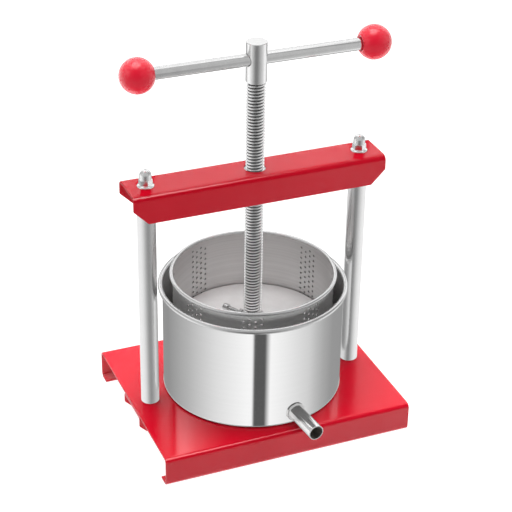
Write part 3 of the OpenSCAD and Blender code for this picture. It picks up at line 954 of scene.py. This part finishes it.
FLOOR_HALF = 6
WALL_R, WALL_LOW, WALL_HIGH = 5.9, -0.1, 5
square = [(-FLOOR_HALF, -FLOOR_HALF, 0), (FLOOR_HALF, -FLOOR_HALF, 0), (FLOOR_HALF, FLOOR_HALF, 0),
          (-FLOOR_HALF, FLOOR_HALF, 0)]
pale, _, _ = material("studio_floor", Base_Color=(0.3, 0.3, 0.3, 1), Roughness=0.9, Emission_Color=WHITE,
                      Emission_Strength=0.98)
ground = stage_mesh("studio_floor", (square, [(0, 1, 2, 3)]), pale, "camera", "diffuse", "transmission",
                    "volume_scatter", "shadow")
white, _, _ = material("studio_wall", Base_Color=BLACK, Emission_Color=WHITE, Emission_Strength=1.0)
white.cycles.emission_sampling = "NONE"
stage_mesh("studio_wall", revolve([(WALL_R, WALL_LOW), (WALL_R, WALL_HIGH)], 64), white, "camera")

# The photograph's bright steel shows no base, beam or spout in its reflections
for unseen in (base, stiffener, beam, spout, spout_collar):
    unseen.visible_glossy = False


def studio_angles(nt, direction):
    """A direction's angle round Z, its rise and how far it points to the front.

    The angle is 0 to the front, which is a fixed direction of the world, and grows to the right
    as seen from there.
    """
    parts = []
    for axis in ((math.cos(FRONT), math.sin(FRONT), 0), (math.sin(FRONT), -math.cos(FRONT), 0), (0, 0, 1)):
        dot = nt.add("ShaderNodeVectorMath", Operation="DOT_PRODUCT")
        dot.inputs[1].default_value = axis
        nt.link(direction, dot.inputs[0])
        parts.append(dot.outputs["Value"])
    to_right, to_front, rise = parts
    return nt.combine("ARCTAN2", to_right, to_front), rise, to_front


def azimuth_ramp(nt, turn, stops):
    """Brightness round the horizon, from stops of (degrees from the front, value)."""
    ramp = nt.add("ShaderNodeValToRGB")
    nt.link(nt.spread(turn, 0, 1, -math.pi, math.pi), ramp.inputs["Fac"])
    elements = ramp.color_ramp.elements
    elements[0].position, elements[1].position = 0, 1
    for degrees, _ in stops[1:-1]:
        elements.new((degrees + 180) / 360)
    for element, (_, value) in zip(elements, stops):
        element.color = (value, value, value, 1)
    return ramp.outputs["Color"]


# Above the horizon the world is white behind the object and over its back half
SKY = [(-180, 1), (-140, 1), (-122, .08), (122, .08), (140, 1), (180, 1)]
BELOW = 0.10
HORIZON = (0.0, 0.10)


def make_world():
    world = bpy.data.worlds.new("studio")
    world.use_nodes = True
    nt = Nodes(world.node_tree)
    turn, rise, to_front = studio_angles(nt, nt.add("ShaderNodeTexCoord").outputs["Generated"])
    over = nt.combine("MULTIPLY", nt.spread(rise, 0, 0.9, 0.72, 0.90),
                      nt.spread(to_front, 1, 0, -0.10, 0.08))
    sky = nt.combine("MAXIMUM", azimuth_ramp(nt, turn, SKY), over)
    mix = nt.add("ShaderNodeMix", Data_Type="RGBA")
    nt.link(nt.spread(rise, 0, 1, *HORIZON), mix.inputs["Factor"])
    mix.inputs["A"].default_value = (BELOW, BELOW, BELOW, 1)
    nt.link(sky, mix.inputs["B"])
    shade = world.node_tree.nodes["Background"]
    nt.link(mix.outputs["Result"], shade.inputs["Color"])
    shade.inputs["Strength"].default_value = 1.0
    return world


scene.world = make_world()


def reflector(name, radius, lit, low, high=(), glow=1, above=HORIZON):
    """A far round screen that only some pieces see, in their gloss.

    low and high are its brightness round the horizon, below and above it; high is times glow
    and comes in over a band of heights.
    """
    mat = bpy.data.materials.new(name)
    mat.use_nodes = True
    mat.cycles.emission_sampling = "NONE"
    nt = Nodes(mat.node_tree)
    where = nt.add("ShaderNodeVectorMath", Operation="NORMALIZE")
    nt.link(nt.add("ShaderNodeTexCoord").outputs["Object"], where.inputs[0])
    turn, rise, _ = studio_angles(nt, where.outputs["Vector"])
    added = [(degrees, max(0, value - BELOW)) for degrees, value in low]
    value = nt.combine("MULTIPLY", nt.spread(rise, 1, 0, *HORIZON), azimuth_ramp(nt, turn, added))
    if high:
        upper = nt.combine("MULTIPLY", nt.spread(rise, 0, glow, *above), azimuth_ramp(nt, turn, high))
        value = nt.combine("ADD", value, upper)
    emission = nt.add("ShaderNodeEmission")
    nt.link(value, emission.inputs["Strength"])
    both = nt.add("ShaderNodeAddShader")
    nt.link(emission.outputs[0], both.inputs[0])
    nt.link(nt.add("ShaderNodeBsdfTransparent").outputs[0], both.inputs[1])
    nt.link(both.outputs[0], mat.node_tree.nodes["Material Output"].inputs["Surface"])
    count = 24
    rises = [math.pi * (k / count - 0.5) for k in range(count + 1)]
    ring = [(radius * math.cos(a), radius * math.sin(a)) for a in rises]
    receivers(stage_mesh(name, revolve(ring, 48), mat, "glossy"), lit)


# Stops of (degrees from the front, brightness), tuned by comparing renders with the photograph
BARREL_LOW = [
    (-180, .30), (-136, .31), (-112, .40), (-90, .50), (-70, .63), (-46, .80), (-27, .91), (-5, 1.03),
    (1.0, 1.03), (3.5, .105), (17, .105), (24, 1.03), (42, .93), (60, .81), (78, .70), (90, .56),
    (104, .44), (124, .34), (180, .30)]
# Soft boxes at both sides, seen in the base by way of the barrel
SOFT_BOXES = [(-180, 0), (-119, 0), (-112, 1), (-95, 1), (-75, .5), (-55, .2), (-30, 0), (90, 0),
              (105, .3), (122, .12), (140, .3), (180, .2)]
LEFT_LOW = [
    (-180, .99), (-83, .95), (-56, .86), (-31, .67), (-9, .43), (14, .305), (24, .29), (36, .32),
    (60, .42), (89, .55), (120, .60), (180, .60)]
RIGHT_LOW = [
    (-180, .60), (-106, .78), (-74, .76), (-60, .61), (-47, .48), (-35, .35), (-23, .26), (-12, .21),
    (0, .26), (12, .33), (23, .45), (35, .58), (47, .68), (60, .78), (74, .86), (89, .92), (180, .99)]
REST_LOW = [
    (-180, .12), (-165, .18), (-140, .48), (-122, .66), (-108, 1.0), (-90, 1.1), (-76, 1.03),
    (-62, .86), (-51, .73), (-38, .55), (-28, .42), (-16, .28), (-6, .20), (6, .20), (16, .24),
    (28, .34), (38, .43), (51, .52), (62, .61), (76, .72), (90, .93), (108, 1.05), (122, .85),
    (140, .60), (165, .18), (180, .12)]
REST_HIGH = [(-180, 0), (-110, .4), (-60, .6), (-30, .45), (42, .45), (60, .5), (75, .3), (110, .3),
             (180, 0)]
BEAM_LOW = [(-180, .4), (40, .33), (43, .40), (47, .65), (51, .85), (180, .4)]
BASE_LOW = [(-180, .9), (40, .95), (46, 1.0), (51, 1.3), (180, .9)]
KNOB_LOW = [
    (-180, 1.0), (-130, 2.2), (-106, 2.0), (-81, 1.4), (-67, .8), (-51, .5), (-35, .25), (0, .1),
    (35, .2), (51, .3), (67, .5), (81, .8), (106, 1.4), (130, 1.7), (180, .9)]
KNOB_HIGH = [(-180, .8), (-120, 1.6), (-60, 1.4), (-25, .1), (25, .1), (60, .9), (120, 1.2), (180, .8)]

under = [base, stiffener]
rest = [piece for piece in pieces if piece not in (barrel, beam, *posts, *under, *knobs)]
reflector("barrel_screen", 12, [barrel], BARREL_LOW, SOFT_BOXES, 3.4, (0.573, 0.585))
reflector("left_screen", 13, posts[:1], LEFT_LOW)
reflector("right_screen", 14, posts[1:], RIGHT_LOW)
reflector("base_screen", 15, under, BASE_LOW)
reflector("beam_screen", 16, [beam], BEAM_LOW)
reflector("knob_screen", 17, knobs, KNOB_LOW, KNOB_HIGH)
reflector("other_screen", 18, rest, REST_LOW, REST_HIGH)


# Cards that show only in gloss, as painted reflections: dark ones behind the posts, and red ones that glow
# on the beam before the cap nuts, because the posts and the beam themselves are out of the gloss

FLAG_BACK, FLAG_HALF, FLAG_BOTTOM, FLAG_TOP = 250, 11.5, 190, 420


def card(name, corners, mat):
    stage_mesh(name, ([tuple(p * MM) for p in corners], [(0, 1, 2, 3)]), mat, "glossy")


def cards_of(word, black, red):
    """A post's dark card and its cap nut's glowing red one, both painted reflections."""
    post = word + "_post"
    spot = Vector((middle_of(post, "x"), AXIS_Y, 0))
    away = Vector((spot.x - eye.x, spot.y - eye.y, 0)).normalized()
    beside = Vector((away.y, -away.x, 0))
    behind = spot + away * FLAG_BACK
    flag = [(-FLAG_HALF, FLAG_BOTTOM), (FLAG_HALF, FLAG_BOTTOM), (FLAG_HALF, FLAG_TOP),
            (-FLAG_HALF, FLAG_TOP)]
    card("flag_" + post + "_tube", [behind + beside * x + Vector((0, 0, z)) for x, z in flag], black)
    on_beam = spot + Vector((0, 0, BEAM_TOP + 0.2))
    strip = [(-5, 8), (5, 8), (6, 22), (-6, 22)]
    card("nut_card_" + post + "_tube", [on_beam + beside * x - away * near for x, near in strip], red)


dark_reflection_card, _, _ = material("flag", Base_Color=(0.02, 0.02, 0.02, 1))
# A red glow with no lamp behind it: painted reflection of the red beam in the cap nuts
red_reflection_card, _, _ = material("red_reflection_glow", Base_Color=BLACK, Emission_Color=(0.45, 0.012, 0.02, 1),
                          Emission_Strength=1)
for word in WORDS:
    cards_of(word, dark_reflection_card, red_reflection_card)


# Soft boxes overhead, in metres and watts

def lamp(name, lit, size, power, place, unseen):
    """A soft box overhead that lights one group of pieces, in their gloss or outside it."""
    light = bpy.data.lights.new(name, "AREA")
    light.shape = "RECTANGLE"
    light.size, light.size_y = size
    light.energy = power
    obj = bpy.data.objects.new(name, light)
    obj.location = place
    obj.rotation_euler = (Vector((0, 0, 0.2)) - obj.location).to_track_quat("-Z", "Y").to_euler()
    setattr(obj, "visible_" + unseen, False)
    scene.collection.objects.link(obj)
    receivers(obj, lit)


reds = [*under, beam, *knobs]
steel = [piece for piece in pieces if piece not in reds]
lamp("base_light", under, (4.0, 2.2), 255, (0.0, 0.4, 4.0), "glossy")
lamp("red_light", [beam, *knobs], (3.6, 2.8), 150, (-0.3, 0.2, 4.0), "glossy")
lamp("steel_light", [*steel, ground], (3.6, 2.8), 170, (-0.3, 0.2, 4.0), "glossy")
lamp("fold_light", [*under, beam], (3.6, 2.4), 155, (-0.4, -1.2, 4.0), "diffuse")
lamp("knob_light", knobs, (2.6, 2.4), 70, (-0.2, 0.2, 4.0), "diffuse")
